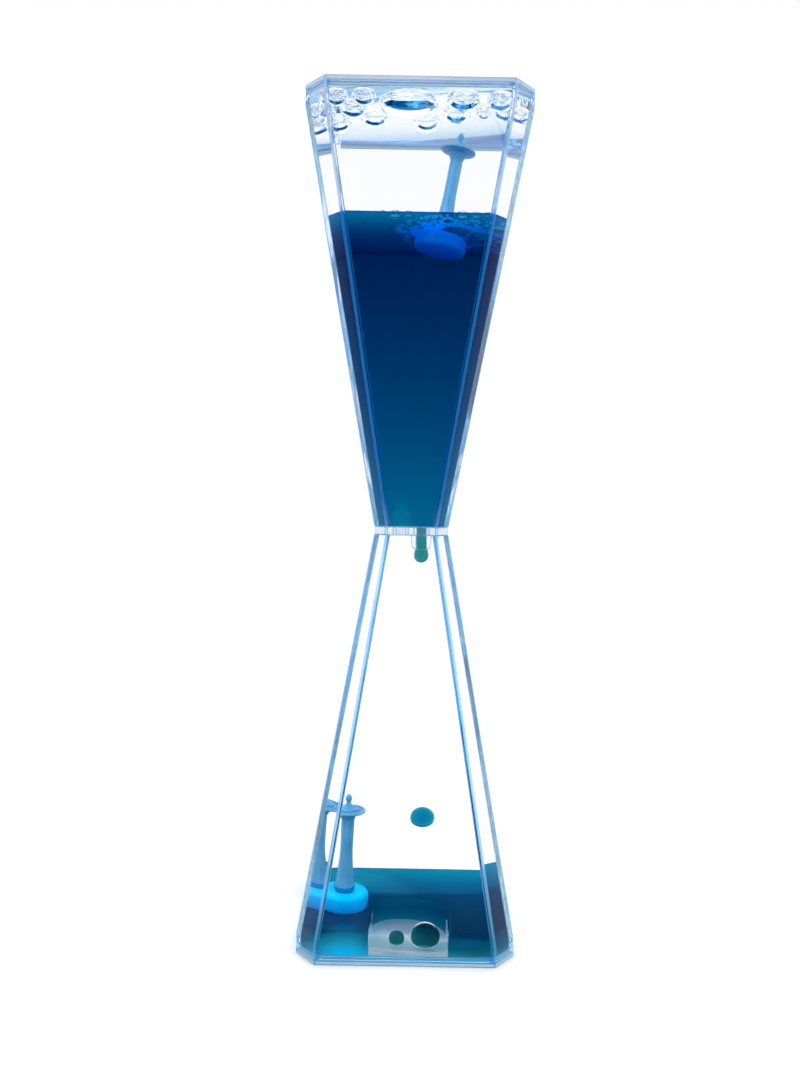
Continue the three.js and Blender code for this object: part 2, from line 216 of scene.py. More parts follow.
def standingBlock(name, steps):
    # a closed block with cut corners; each step is (height, section), from low to high
    height, section = steps[0]
    clearSelection()
    bpy.ops.mesh.primitive_plane_add(size=mm, location=(0, 0, height * mm))
    piece = bpy.context.object
    piece.name = name
    fixPlace(piece)
    openMesh(piece)
    bpy.ops.mesh.select_all(action="SELECT")
    resize(section[0], section[1], 1, (0, 0, height))
    bpy.ops.mesh.bevel(offset=section[2] * mm, offset_type="OFFSET", affect="VERTICES", segments=1)
    bpy.ops.mesh.select_all(action="SELECT")
    for nextHeight, nextSection in steps[1:]:
        pushUp(nextHeight - height)
        if nextSection != section:
            fitSection(nextHeight, section, nextSection)
        height, section = nextHeight, nextSection
    closeMesh()
    return piece


def turnedPiece(name, profile, spot=(0, 0), around=40):
    # a closed round piece that stands upright; the profile is (radius, height) from low to high
    radius, height = profile[0]
    clearSelection()
    bpy.ops.mesh.primitive_circle_add(
        vertices=around, radius=radius * mm, fill_type="NGON",
        location=(spot[0] * mm, spot[1] * mm, height * mm))
    piece = bpy.context.object
    piece.name = name
    fixPlace(piece)
    openMesh(piece)
    bpy.ops.mesh.select_all(action="SELECT")
    for nextRadius, nextHeight in profile[1:]:
        pushUp(nextHeight - height)
        growth = nextRadius / radius
        resize(growth, growth, 1, (spot[0], spot[1], nextHeight))
        radius, height = nextRadius, nextHeight
    bpy.ops.mesh.select_all(action="SELECT")
    bpy.ops.mesh.normals_make_consistent(inside=False)
    closeMesh()
    return piece


def domeProfile(radius, low, high, steps=8, tip=0.02):
    # from the widest ring at low up to the top at high
    points = []
    for step in range(steps + 1):
        turn = step / steps * math.pi / 2
        points.append((max(radius * math.cos(turn), tip), low + (high - low) * math.sin(turn)))
    return points


def bowlProfile(radius, low, high, steps=8, tip=0.03):
    # from the lowest point at low up to the widest ring at high
    points = []
    for step in range(steps + 1):
        turn = step / steps * math.pi / 2
        points.append((max(radius * math.sin(turn), tip), high - (high - low) * math.cos(turn)))
    return points


def ballProfile(radius, centre, halfHeight, steps, fullness=0.0, tip=0.03):
    # from the lowest point to the highest; fullness widens the lower half
    points = []
    for step in range(steps + 1):
        turn = step / steps * math.pi
        level = -math.cos(turn)
        width = radius * math.sin(turn) * (1 - fullness * level)
        points.append((max(width, tip), centre + halfHeight * level))
    return points


def place(piece, body, slot, *nodes):
    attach(piece, body)
    if nodes:
        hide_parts(*nodes)


# Materials

def newMaterial(name):
    material = bpy.data.materials.new(name)
    material.use_nodes = True
    nodes = material.node_tree.nodes
    return material, nodes, material.node_tree.links, nodes["Principled BSDF"]


def objectNoise(nodes, links, scale, detail=3.0, stretch=(1, 1, 1)):
    where = nodes.new("ShaderNodeTexCoord")
    mapping = nodes.new("ShaderNodeMapping")
    mapping.inputs["Scale"].default_value = stretch
    noise = nodes.new("ShaderNodeTexNoise")
    noise.inputs["Scale"].default_value = scale
    noise.inputs["Detail"].default_value = detail
    links.new(where.outputs["Object"], mapping.inputs["Vector"])
    links.new(mapping.outputs["Vector"], noise.inputs["Vector"])
    return noise.outputs["Fac"]


def colourRange(nodes, links, factor, stops):
    ramp = nodes.new("ShaderNodeValToRGB")
    while len(ramp.color_ramp.elements) < len(stops):
        ramp.color_ramp.elements.new(0.5)
    for element, (position, colour) in zip(ramp.color_ramp.elements, stops):
        element.position = position
        element.color = (*colour, 1)
    links.new(factor, ramp.inputs["Fac"])
    return ramp.outputs["Color"]


def addRipple(nodes, links, shader, scale, strength, distance, stretch=(1, 1, 1)):
    bump = nodes.new("ShaderNodeBump")
    bump.inputs["Strength"].default_value = strength
    bump.inputs["Distance"].default_value = distance * mm
    links.new(objectNoise(nodes, links, scale, 2.0, stretch), bump.inputs["Height"])
    links.new(bump.outputs["Normal"], shader.inputs["Normal"])


def placeRange(nodes, links, look):
    # 0 to 1 between two distances from a point, or between two heights where no point is given
    where = nodes.new("ShaderNodeTexCoord")
    span = nodes.new("ShaderNodeMapRange")
    span.inputs["From Min"].default_value = look["from"] * mm
    span.inputs["From Max"].default_value = look["to"] * mm
    if look.get("point"):
        away = nodes.new("ShaderNodeVectorMath")
        away.operation = "DISTANCE"
        away.inputs[1].default_value = Vector(look["point"]) * mm
        links.new(where.outputs["Object"], away.inputs[0])
        links.new(away.outputs["Value"], span.inputs["Value"])
    else:
        split = nodes.new("ShaderNodeSeparateXYZ")
        links.new(where.outputs["Object"], split.inputs["Vector"])
        links.new(split.outputs["Z"], span.inputs["Value"])
    return span.outputs["Result"]


def mixColours(nodes, links, factor, first, second):
    mix = nodes.new("ShaderNodeMix")
    mix.data_type = "RGBA"
    links.new(factor, mix.inputs["Factor"])
    for side, colour in (("A", first), ("B", second)):
        if isinstance(colour, tuple):
            mix.inputs[side].default_value = (*colour, 1)
        else:
            links.new(colour, mix.inputs[side])
    return mix.outputs["Result"]


def rescale(nodes, links, value, low, high):
    span = nodes.new("ShaderNodeMapRange")
    span.inputs["To Min"].default_value = low
    span.inputs["To Max"].default_value = high
    links.new(value, span.inputs["Value"])
    return span.outputs["Result"]


def mathNode(nodes, links, operation, first, second):
    node = nodes.new("ShaderNodeMath")
    node.operation = operation
    links.new(first, node.inputs[0])
    links.new(second, node.inputs[1])
    return node.outputs["Value"]


def addPaintedRim(nodes, links, shader, tint, look):
    # painted rim: turns paler and milkier where the surface is seen edge-on, painted light and
    # shade that stands in for what edges reflect
    start, end, clear, colour = look["rim"]
    facing = nodes.new("ShaderNodeLayerWeight")
    edge = nodes.new("ShaderNodeMapRange")
    edge.inputs["From Min"].default_value = start
    edge.inputs["From Max"].default_value = end
    links.new(facing.outputs["Facing"], edge.inputs["Value"])
    clearness = rescale(nodes, links, edge.outputs["Result"], look.get("clear", 1), clear)
    links.new(clearness, shader.inputs["Transmission Weight"])
    return mixColours(nodes, links, edge.outputs["Result"], tint, colour)


def mixByPlace(nodes, links, spot, first, second):
    return mixColours(nodes, links, placeRange(nodes, links, spot), first, second)


def addPaintedEdgeReflection(nodes, links, tint, look):
    # painted reflection of what the plastic borders on at each height: pool, oil, dyed water, oil
    tint = mixByPlace(nodes, links, look["lowEdge"], look["pool"], tint)
    tint = mixByPlace(nodes, links, look["waist"], tint, look["water"])
    return mixByPlace(nodes, links, look["surface"], tint, look["top"])


def addSurface(nodes, links, shader, tint, look):
    # the liquid's upper face has a colour of its own and is less clear
    isTop = placeRange(nodes, links, look["surface"])
    if look.get("round"):
        isTop = mathNode(
            nodes, links, "MULTIPLY", isTop, placeRange(nodes, links, look["round"]))
    tint = mixColours(nodes, links, isTop, tint, look["surface"]["tint"])
    clearness = rescale(nodes, links, isTop, 1, look["surface"]["clear"])
    if look.get("lit"):
        # painted light that the bright float throws down into the pool
        away = placeRange(nodes, links, look["lit"])
        tint = mixColours(nodes, links, away, look["lit"]["tint"], tint)
        unlit = rescale(nodes, links, away, look["lit"]["clear"], 1)
        clearness = mathNode(nodes, links, "MULTIPLY", clearness, unlit)
    links.new(clearness, shader.inputs["Transmission Weight"])
    return tint


def addGlow(shader, colour, strength):
    # stands for the daylight that comes through thin plastic and foam
    shader.inputs["Emission Color"].default_value = (*colour, 1)
    shader.inputs["Emission Strength"].default_value = strength


clearGrain = 60


def clearMaterial(name, look):
    # clear stuff; its bend of light is measured against what lies outside the surface
    material, nodes, links, shader = newMaterial(name)
    shader.inputs["Transmission Weight"].default_value = look.get("clear", 1)
    shader.inputs["IOR"].default_value = look["bend"]
    shader.inputs["Roughness"].default_value = look.get("roughness", 0.0)
    glint = look.get("glint", 1.0)
    shader.inputs["Specular Tint"].default_value = (glint, glint, glint, 1)
    grain = objectNoise(nodes, links, clearGrain)
    tint = colourRange(nodes, links, grain, [(0.3, look["tint"][0]), (0.7, look["tint"][1])])
    if look.get("paintedBands"):
        tint = addPaintedEdgeReflection(nodes, links, tint, look["paintedBands"])
    if look.get("room"):
        tint = mixByPlace(nodes, links, look["room"], look["room"]["tint"], tint)
    if look.get("surface"):
        tint = addSurface(nodes, links, shader, tint, look)
    if look.get("rim"):
        tint = addPaintedRim(nodes, links, shader, tint, look)
    links.new(tint, shader.inputs["Base Color"])
    if look.get("ripple"):
        addRipple(nodes, links, shader, *look["ripple"])
    if look.get("glow"):
        addGlow(shader, *look["glow"])
    if look.get("takes"):
        colour, density = look["takes"]
        absorb = nodes.new("ShaderNodeVolumeAbsorption")
        absorb.inputs["Color"].default_value = (*colour, 1)
        absorb.inputs["Density"].default_value = density
        links.new(absorb.outputs["Volume"], nodes["Material Output"].inputs["Volume"])
    return material


# painted reflection: the edges' colours at each height stand in for the pool, dyed water and oil
# seen in them
paintedEdgeReflection = {
    "lowEdge": {"from": poolLevel - 1, "to": poolLevel + 14}, "pool": (0.05, 0.36, 0.62),
    "waist": {"from": dividerBottom - 6, "to": dividerTop + 6}, "water": (0.0, 0.19, 0.60),
    "surface": {"from": waterLevel - 1, "to": waterLevel + 1}, "top": (0.34, 0.48, 0.70),
}
# tint holds the mottle's two shades, and the painted rim where the milky edge starts and ends,
# how clear it is and its painted colour; ripple holds scale, strength, depth and stretch
plastic = {
    "clearOutsideWall": {
        "bend": 1.59, "tint": ((0.975, 0.985, 0.995), (0.99, 0.995, 1.0)), "glint": 0,
        "rim": (0.85, 0.97, 0.15, (0.40, 0.66, 0.94)), "ripple": (35, 0.12, 0.05, (1, 1, 0.25))},
    "clearInsideWall": {
        "bend": 1.089, "tint": ((0.98, 0.99, 1.0), (0.99, 0.995, 1.0)), "glint": 0,
        "rim": (0.66, 0.88, 0.5, (0.20, 0.62, 0.95)), "ripple": (45, 0.1, 0.04, (1, 1, 0.25))},
    # the edge skins' milky blue is painted reflection of the bluish daylight and the dyed water
    # seen in the plastic's edges
    "clearOutsideEdge": {
        "bend": 1.59, "tint": ((0.20, 0.50, 0.82), (0.36, 0.66, 0.94)), "clear": 0.5,
        "paintedBands": paintedEdgeReflection, "rim": (0.25, 0.6, 0.5, (0.12, 0.55, 0.92)),
        "roughness": 0.08, "glint": 0.25, "ripple": (60, 0.1, 0.05)},
    "clearInsideEdge": {
        "bend": 1.089, "tint": ((0.16, 0.48, 0.84), (0.28, 0.60, 0.93)), "clear": 0.5,
        "paintedBands": paintedEdgeReflection, "rim": (0.25, 0.6, 0.5, (0.12, 0.52, 0.94)),
        "roughness": 0.05, "ripple": (60, 0.1, 0.05)},
    # the cap rim's milky blue-grey is painted reflection of daylight in the clear flange's sides
    "clearCapRim": {
        "bend": 1.59, "tint": ((0.46, 0.56, 0.72), (0.66, 0.74, 0.86)), "clear": 0.6,
        "roughness": 0.05, "ripple": (90, 0.2, 0.05)},
    "clearCapBase": {
        "bend": 1.59, "tint": ((0.80, 0.87, 0.94), (0.88, 0.93, 0.98)), "clear": 0.6,
        "roughness": 0.06, "glint": 0.5, "ripple": (60, 0.2, 0.05)},
    # the plate side's pale blue tint is a painted highlight on the clear plate
    "clearPlateSide": {
        "bend": 1.59, "tint": ((0.70, 0.77, 0.86), (0.84, 0.89, 0.95)), "clear": 0.97,
        "glint": 0.2, "ripple": (90, 0.25, 0.05)},
}
plasticSkins = [clearMaterial(name, look) for name, look in plastic.items()]
skinNumber = {name: number for number, name in enumerate(plastic)}
edgeSkin = skinNumber["clearOutsideEdge"]
nozzleSkin = clearMaterial("clearNozzle", {
    "bend": 1.089, "tint": ((0.86, 0.93, 0.98), (0.92, 0.96, 1.0)),
    "rim": (0.45, 0.85, 0.1, (0.28, 0.60, 0.86))})

# takes is the light that the dye lets through, and how dense the dye is; the painted rim is as in
# the plastics
liquid = {
    "clearOil": {"bend": 1.0, "glint": 0, "tint": ((0.99, 0.995, 0.99), (1.0, 1.0, 1.0))},
    "dyedWater": {
        "bend": 0.98, "glint": 0, "tint": ((0.05, 0.40, 0.49), (0.07, 0.44, 0.53)),
        "takes": ((0.0, 0.74, 0.86), 430),
        # paler where it borders on the oil round the rising nozzle
        "room": {"point": (-2.2, 0, 94.5), "from": 4.5, "to": 5, "tint": (0.55, 0.88, 0.92)},
        "surface": {"from": waterLevel - 0.6, "to": waterLevel - 0.4, "clear": 0.7,
                    "tint": (0.0, 0.15, 0.48)}},
    "dyedPool": {
        "bend": 0.98, "glint": 0, "tint": ((0.04, 0.50, 0.57), (0.06, 0.55, 0.62)),
        "takes": ((0.0, 0.755, 0.865), 400),
        "surface": {"from": poolLevel - 0.4, "to": poolLevel - 0.1, "clear": 0.9,
                    "tint": (0.0, 0.14, 0.28)},
        # painted light: a brighter, milkier patch round the lower float
        "lit": {"point": (-12.7, -18.2, 0), "from": 2, "to": 8, "clear": 0.35,
                "tint": (0.0, 0.56, 0.95)},
        "round": {"point": (-13, -1, poolLevel), "from": 7, "to": 17}},
    "dyedDrop": {
        "bend": 0.94, "tint": ((0.03, 0.42, 0.52), (0.06, 0.46, 0.56)),
        "takes": ((0.0, 0.72, 0.86), 600), "rim": (0.82, 0.97, 0.5, (0.35, 0.80, 0.86))},
    "dyedPaleDrop": {
        "bend": 0.94, "tint": ((0.06, 0.28, 0.28), (0.09, 0.32, 0.31)),
        "takes": ((0.0, 0.78, 0.84), 500), "rim": (0.72, 0.93, 0.15, (0.55, 0.80, 0.78))},
    "airBubble": {
        "bend": 0.685, "tint": ((0.97, 0.985, 1.0), (1.0, 1.0, 1.0)),
        "rim": (0.45, 0.85, 0.3, (0.22, 0.40, 0.68))},
    "foamBubble": {
        "bend": 0.93, "tint": ((0.90, 0.96, 1.0), (0.97, 0.99, 1.0)),
        "rim": (0.4, 0.8, 0.15, (0.16, 0.60, 0.62))},
    "fineFroth": {
        "bend": 0.93, "tint": ((0.20, 0.70, 1.0), (0.45, 0.88, 1.0)), "clear": 0.45,
        "rim": (0.35, 0.85, 0.0, (0.15, 0.75, 1.0)), "glow": ((0.0, 0.4, 1.0), 0.22)},
}
liquidSkins = {name: clearMaterial(name, look) for name, look in liquid.items()}

mouldedBend = 1.5


def mouldedMaterial(name, look):
    # satin moulded plastic with a faint mottle
    material, nodes, links, shader = newMaterial(name)
    grain = objectNoise(nodes, links, look["grain"], 5.0)
    links.new(colourRange(nodes, links, grain, look["colours"]), shader.inputs["Base Color"])
    links.new(rescale(nodes, links, grain, *look["shine"]), shader.inputs["Roughness"])
    shader.inputs["Metallic"].default_value = look.get("metal", 0)
    shader.inputs["IOR"].default_value = mouldedBend
    if look.get("glow"):
        addGlow(shader, *look["glow"])
    addRipple(nodes, links, shader, look["grain"] * 3, 0.15, 0.03)
    return material


moulded = {
    "towerPaleBlue": {"grain": 500, "shine": (0.3, 0.5),
                      "colours": [(0.3, (0.045, 0.28, 0.54)), (0.7, (0.075, 0.33, 0.60))]},
    # both floats are one plastic: the upper one's deeper blue and the lower one's paler colour and
    # stronger glow are painted light and shade
    "upperFloatBlue": {"grain": 350, "shine": (0.3, 0.5), "glow": ((0.0, 0.22, 1.0), 0.62),
                       "colours": [(0.3, (0.0, 0.40, 0.98)), (0.7, (0.02, 0.46, 1.0))]},
    "lowerFloatBlue": {"grain": 350, "shine": (0.3, 0.5), "glow": ((0.0, 0.55, 1.0), 0.85),
                       "colours": [(0.3, (0.0, 0.72, 0.98)), (0.7, (0.02, 0.78, 1.0))]},
    "ballastSteel": {"grain": 900, "shine": (0.3, 0.45), "metal": 1,
                     "colours": [(0.3, (0.50, 0.51, 0.53)), (0.7, (0.60, 0.61, 0.63))]},
}
mouldedSkins = {name: mouldedMaterial(name, look) for name, look in moulded.items()}
print("materials ready")


# Clear case

def depthInside(point):
    # how far a point lies in from the case's outer faces
    width, depth, corner = sectionAt(point.z)
    x, y = abs(point.x), abs(point.y)
    return min(width / 2 - x, depth / 2 - y, ((width + depth) / 2 - corner - x - y) / math.sqrt(2))


def addPlasticSkins(piece):
    for skin in plasticSkins:
        piece.data.materials.append(skin)


def skinCase(piece, sides="clearOutsideWall"):
    # faces on the outside meet air, the others meet the liquids
    for face in piece.data.polygons:
        centre = face.center / mm
        isJoint = abs(face.normal.z) > upright
        atEnd = near(centre.z, 0) or near(centre.z, case["height"])
        inward = depthInside(centre) > case["wall"] / 2
        isInside = (inward or isJoint) and not atEnd
        if face.normal.z < -upright and centre.z < case["capFlange"] / 2:
            skin = "clearCapBase"
        elif face.material_index >= edgeSkin:
            skin = "clearInsideEdge" if isInside else "clearOutsideEdge"
        elif isInside:
            skin = "clearInsideWall"
        else:
            skin = "clearOutsideWall" if isJoint else sides
        face.material_index = skinNumber[skin]


def chamber():
    low = case["capFlange"] + case["jointLine"]
    high = dividerBottom - case["jointLine"]
    piece = standingBlock("lowerChamber", [
        (low, sectionAt(0)), (case["endBand"], sectionAt(0)), (high, sectionAt(high))])
    openMesh(piece)
    pick("FACE", lambda p, n: abs(n.z) > upright)
    bpy.ops.mesh.delete(type="ONLY_FACE")
    closeMesh()
    addPlasticSkins(piece)
    roundEdges(piece, case["edgeRound"], 3, 30, edgeSkin)
    shape(
        piece, "SOLIDIFY", thickness=case["wall"] * mm, offset=-1,
        use_even_offset=True, use_rim=True)
    roundEdges(piece, case["rimRound"], 2, 60, edgeSkin)
    return piece


def endCap():
    flange = case["capFlange"] - case["jointLine"]
    piece = standingBlock("bottomCap", [(0, sectionAt(0)), (flange, sectionAt(0))])
    openMesh(piece)
    pick("FACE", lambda p, n: n.z > upright)
    bpy.ops.mesh.inset(thickness=(case["wall"] + case["capGap"]) * mm)
    pushUp(case["capPad"])
    closeMesh()
    addPlasticSkins(piece)
    roundEdges(piece, case["rimRound"], 2, 30, edgeSkin)
    return piece


fillPlug = {"radius": 1.75, "gap": 0.12, "recess": 0.3}


def drillPlug(cap):
    low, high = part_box("fill_plug")
    centre = ((low + high) / 2 / mm).xy
    bore = fillPlug["radius"] + fillPlug["gap"]
    cutAway(cap, turnedPiece("plugBore", [(bore, -1), (bore, floorTop + 1)], centre))
    plug = turnedPiece("fillPlug", [
        (fillPlug["radius"] - 0.3, fillPlug["recess"]),
        (fillPlug["radius"], fillPlug["recess"] + 0.2),
        (fillPlug["radius"], floorTop - 0.15),
        (fillPlug["radius"] - 0.2, floorTop),
    ], centre)
    addPlasticSkins(plug)
    return plug


lowerChamber = chamber()
upperChamber = copyOf(lowerChamber, "upperChamber")
flipOver(upperChamber)
bottomCap = endCap()
topCap = copyOf(bottomCap, "topCap")
flipOver(topCap)
plug = drillPlug(bottomCap)
for piece, node in (
        (lowerChamber, "lower_chamber_shell"), (upperChamber, "upper_chamber_shell"),
        (bottomCap, "bottom_end_cap"), (topCap, "top_end_cap"), (plug, "fill_plug")):
    tidyMesh(piece)
    skinCase(piece, "clearCapRim" if piece in (bottomCap, topCap) else "clearOutsideWall")
    place(piece, "case", "clear_plastic", node)
for piece in (lowerChamber, upperChamber, topCap):
    piece.visible_shadow = False  # light passes clear plastic
print("case ready")


# Waist: divider plate and nozzles

nozzle = {
    "offset": 2.2, "length": 4.2, "spigot": 1.75, "spigotGap": 0.12,
    "shoulder": 2.5, "shoulderGap": 0.05, "tip": 2.0, "bore": 1.15,
}
nozzleTip = dividerBottom - nozzle["length"]


def dividerPlate():
    inset = case["jointLine"]
    section = sectionAt(middle)
    piece = standingBlock("dividerPlate", [
        (dividerBottom + inset, section), (dividerTop - inset, section)])
    addPlasticSkins(piece)
    roundEdges(piece, case["plateRound"], 2, 30, edgeSkin)
    hole = nozzle["spigot"] + nozzle["spigotGap"]
    for side in (-1, 1):
        spot = (side * nozzle["offset"], 0)
        cutAway(piece, turnedPiece(
            "spigotHole", [(hole, dividerBottom - 1), (hole, dividerTop + 1)], spot))
    return piece


def nozzlePiece():
    # points down on the right, its spigot up in the plate
    spot = (nozzle["offset"], 0)
    shoulderTop = dividerBottom - nozzle["shoulderGap"]
    piece = turnedPiece("dripNozzle", [
        (nozzle["tip"] - 0.25, nozzleTip),
        (nozzle["tip"], nozzleTip + 0.25),
        (nozzle["shoulder"] - 0.08, dividerBottom - 0.5),
        (nozzle["shoulder"], shoulderTop - 0.1),
        (nozzle["shoulder"] - 0.1, shoulderTop),
        (nozzle["spigot"], shoulderTop),
        (nozzle["spigot"], dividerTop - 0.1),
        (nozzle["spigot"] - 0.1, dividerTop),
    ], spot, 48)
    bore = nozzle["bore"]
    cutAway(piece, turnedPiece(
        "nozzleBore", [(bore, nozzleTip - 1), (bore, dividerTop + 1)], spot, 48))
    return piece


plate = dividerPlate()
dripNozzle = nozzlePiece()
risingNozzle = copyOf(dripNozzle, "risingNozzle")
openMesh(risingNozzle)
bpy.ops.mesh.select_all(action="SELECT")
resize(-1, 1, -1, (0, 0, middle))
closeMesh()
for piece, node in (
        (plate, "divider_plate"), (dripNozzle, "drip_nozzle"), (risingNozzle, "rising_nozzle")):
    tidyMesh(piece)
    place(piece, "case", "clear_plastic", node)
skinCase(plate, "clearPlateSide")
for piece in (dripNozzle, risingNozzle):
    piece.data.materials.append(nozzleSkin)
for piece in (plate, dripNozzle, risingNozzle):
    piece.visible_shadow = False
print("waist ready")


# Bubbles

cadBubbles = {"cap": 11, "surface": 5}


def nodePlace(node):
    # middle, radius and height of a CAD node
    low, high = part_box(node)
    return (low + high) / 2 / mm, (high.x - low.x) / 2 / mm, (high.z - low.z) / mm


capBubble = {"touch": 0.8, "shoulder": 0.3, "film": 0.06, "smallDepth": 1.8}


def hangingBubble(name, x, y, radius, depth, around=28):
    # flat where it presses on the cap, round below
    touch, top = capBubble["touch"], ceiling - capBubble["film"]
    widest = top - depth * capBubble["shoulder"]
    profile = bowlProfile(radius, top - depth, widest)
    for share in (0.35, 0.7, 0.9, 1.0):
        turn = share * math.pi / 2
        width = radius * (touch + (1 - touch) * math.cos(turn))
        profile.append((width, widest + (top - widest) * math.sin(turn)))
    piece = turnedPiece(name, profile, (x, y), around)
    tidyMesh(piece, roundSmooth)
    piece.data.materials.append(liquidSkins["airBubble"])
    piece.visible_shadow = False
    return piece


for number in range(1, cadBubbles["cap"] + 1):
    centre, radius, depth = nodePlace(f"cap_bubble_{number}")
    bubble = hangingBubble(f"capBubble{number}", centre.x, centre.y, radius, depth)
    place(bubble, "case", "bubble_air", f"cap_bubble_{number}")

smallCapBubbles = [
    (12.9, -9.4, 1.6), (-18.6, -8.8, 1.4), (-18.2, -5.4, 1.5), (-18.6, 4.3, 1.4),
    (-18.3, 7.8, 1.7), (-18.1, 11.9, 1.9), (19.6, -13.4, 0.8),
]
for number, (x, y, radius) in enumerate(smallCapBubbles, cadBubbles["cap"] + 1):
    depth = capBubble["smallDepth"] * radius
    bubble = hangingBubble(f"capBubble{number}", x, y, radius, depth, 20)
    place(bubble, "case", "bubble_air")


surfaceBubble = {"flatness": 0.72, "dimple": 0.03}


def floatingBubble(name, x, y, radius):
    # a slightly flattened bubble lying in the surface of the water
    profile = ballProfile(radius, waterLevel, surfaceBubble["flatness"] * radius, 16)
    return turnedPiece(name, profile, (x, y), 24)


smallSurfaceBubbles = [
    (-7.1, -13.3, 0.9), (-1.9, -13.1, 1.1), (-14.6, -3.3, 1.0), (-4.1, -0.2, 1.1),
    (14.1, -13.2, 1.0), (-5.6, -5.1, 0.7), (-10.9, -9.2, 0.8),
    (1.6, -10.3, 1.0), (4.2, -11.6, 0.8), (6.3, -9.9, 0.9), (-1.6, -7.4, 1.1), (-2.6, -4.4, 0.7),
    (10.6, -8.6, 1.0), (11.4, -1.9, 1.2), (10.2, 4.6, 0.9), (5.8, 5.2, 1.1), (-0.9, 3.4, 0.8),
]
surfaceBubbles = []
for number in range(1, cadBubbles["surface"] + 1):
    centre, radius, _ = nodePlace(f"surface_bubble_{number}")
    surfaceBubbles.append((centre.x, centre.y, radius))
surfaceBubbles += smallSurfaceBubbles
print("bubbles ready")


# Liquids

water = {"wallFilm": 0.1, "floorGap": 0.04, "meniscus": 0.7, "dip": 0.18}


def waterBlock():
    low = dividerTop + water["floorGap"]
    film = water["wallFilm"]
    piece = standingBlock("upperWater", [
        (low, insideAt(low, film)), (waterLevel, insideAt(waterLevel, film))])
    openMesh(piece)
    pick("FACE", lambda p, n: near(p.z, waterLevel) and n.z > upright)
    bpy.ops.mesh.inset(thickness=water["meniscus"] * mm, depth=-water["dip"] * mm)
    closeMesh()
    return piece


oilRoom = {"film": 0.08, "radius": 1.75, "rise": 3.1}


def nozzleRoom():
    # oil round the rising nozzle and the bubble of oil that leaves its tip
    tip, film, radius = dividerTop + nozzle["length"], oilRoom["film"], oilRoom["radius"]
    profile = [
        (nozzle["shoulder"] + film, dividerTop - 1),
        (nozzle["shoulder"] + film, dividerTop + 0.4),
        (nozzle["tip"] + film, tip - 0.1),
        (nozzle["tip"] - 0.1, tip + film),
        (radius - 0.2, tip + 0.4),
    ]
    profile += domeProfile(radius, tip + 1.2, tip + oilRoom["rise"])
    return turnedPiece("nozzleRoom", profile, (-nozzle["offset"], 0), 40)


upperWater = waterBlock()
cutAway(upperWater, nozzleRoom())
for number, (x, y, radius) in enumerate(surfaceBubbles, 1):
    bubble = floatingBubble(f"surfaceBubble{number}", x, y, radius)
    tidyMesh(bubble, roundSmooth)
    dimple = copyOf(bubble, "dimple")
    openMesh(dimple)
    bpy.ops.mesh.select_all(action="SELECT")
    growth = 1 + surfaceBubble["dimple"] / radius
    resize(growth, growth, growth, (x, y, waterLevel))
    closeMesh()
    cutAway(upperWater, dimple)
    bubble.data.materials.append(liquidSkins["foamBubble"])
    bubble.visible_shadow = False
    nodes = [f"surface_bubble_{number}"] if number <= cadBubbles["surface"] else []
    place(bubble, "case", "bubble_air", *nodes)
tidyMesh(upperWater, 25)
upperWater.data.materials.clear()
upperWater.data.materials.append(liquidSkins["dyedWater"])
place(upperWater, "case", "dyed_water", "upper_dyed_water")
upperWater.visible_shadow = False

pool = {
    "bayHalf": 8.4, "bayDepth": 19.1, "bayCentre": 0.6, "bayLean": 1, "toolReach": 4,
    "toolHeight": 20, "leftRound": 5, "rightRound": 9.4, "edgeRound": 1.4,
}


def bayTool(front):
    # the clear bay: its left side leans in, its two back corners are round
    centre, reach = pool["bayCentre"], pool["toolReach"]
    deep = pool["bayDepth"] + reach
    clearSelection()
    bpy.ops.mesh.primitive_cube_add(
        size=mm, location=(centre * mm, (front - reach + deep / 2) * mm, poolLevel * mm))
    tool = bpy.context.object
    tool.name = "bayTool"
    tool.scale = (2 * pool["bayHalf"], deep, pool["toolHeight"])
    fixPlace(tool)
    openMesh(tool)

    def backEdge(p, d):
        return abs(d.z) > upright and p.y > front + pool["bayDepth"] / 2

    pick("EDGE", lambda p, d: backEdge(p, d) and p.x < centre)
    bpy.ops.transform.translate(value=(pool["bayLean"] * mm, 0, 0))
    bpy.ops.mesh.bevel(offset=pool["leftRound"] * mm, segments=8, affect="EDGES")
    pick("EDGE", lambda p, d: backEdge(p, d) and p.x > centre + pool["bayHalf"] - 0.1)
    bpy.ops.mesh.bevel(offset=pool["rightRound"] * mm, segments=12, affect="EDGES")
    closeMesh()
    return tool


def poolBlock():
    low = floorTop + water["floorGap"]
    film = water["wallFilm"]
    piece = standingBlock("lowerWater", [
        (low, insideAt(low, film)), (poolLevel, insideAt(poolLevel, film))])
    front = -insideAt(floorTop)[1] / 2
    cutAway(piece, bayTool(front))
    tidyMesh(piece)
    openMesh(piece)

    def onBayEdge(p, d):
        return near(p.z, poolLevel) and depthInside(p) > case["wall"] + 0.3

    pick("EDGE", onBayEdge)
    bpy.ops.mesh.bevel(offset=pool["edgeRound"] * mm, segments=5, affect="EDGES", profile=0.5)
    closeMesh()
    return piece


lowerWater = poolBlock()
tidyMesh(lowerWater, 40)
lowerWater.data.materials.append(liquidSkins["dyedPool"])
place(lowerWater, "case", "dyed_water", "lower_dyed_water")
lowerWater.visible_shadow = False


oil = {"gap": 0.02, "edgeRound": 0.3}


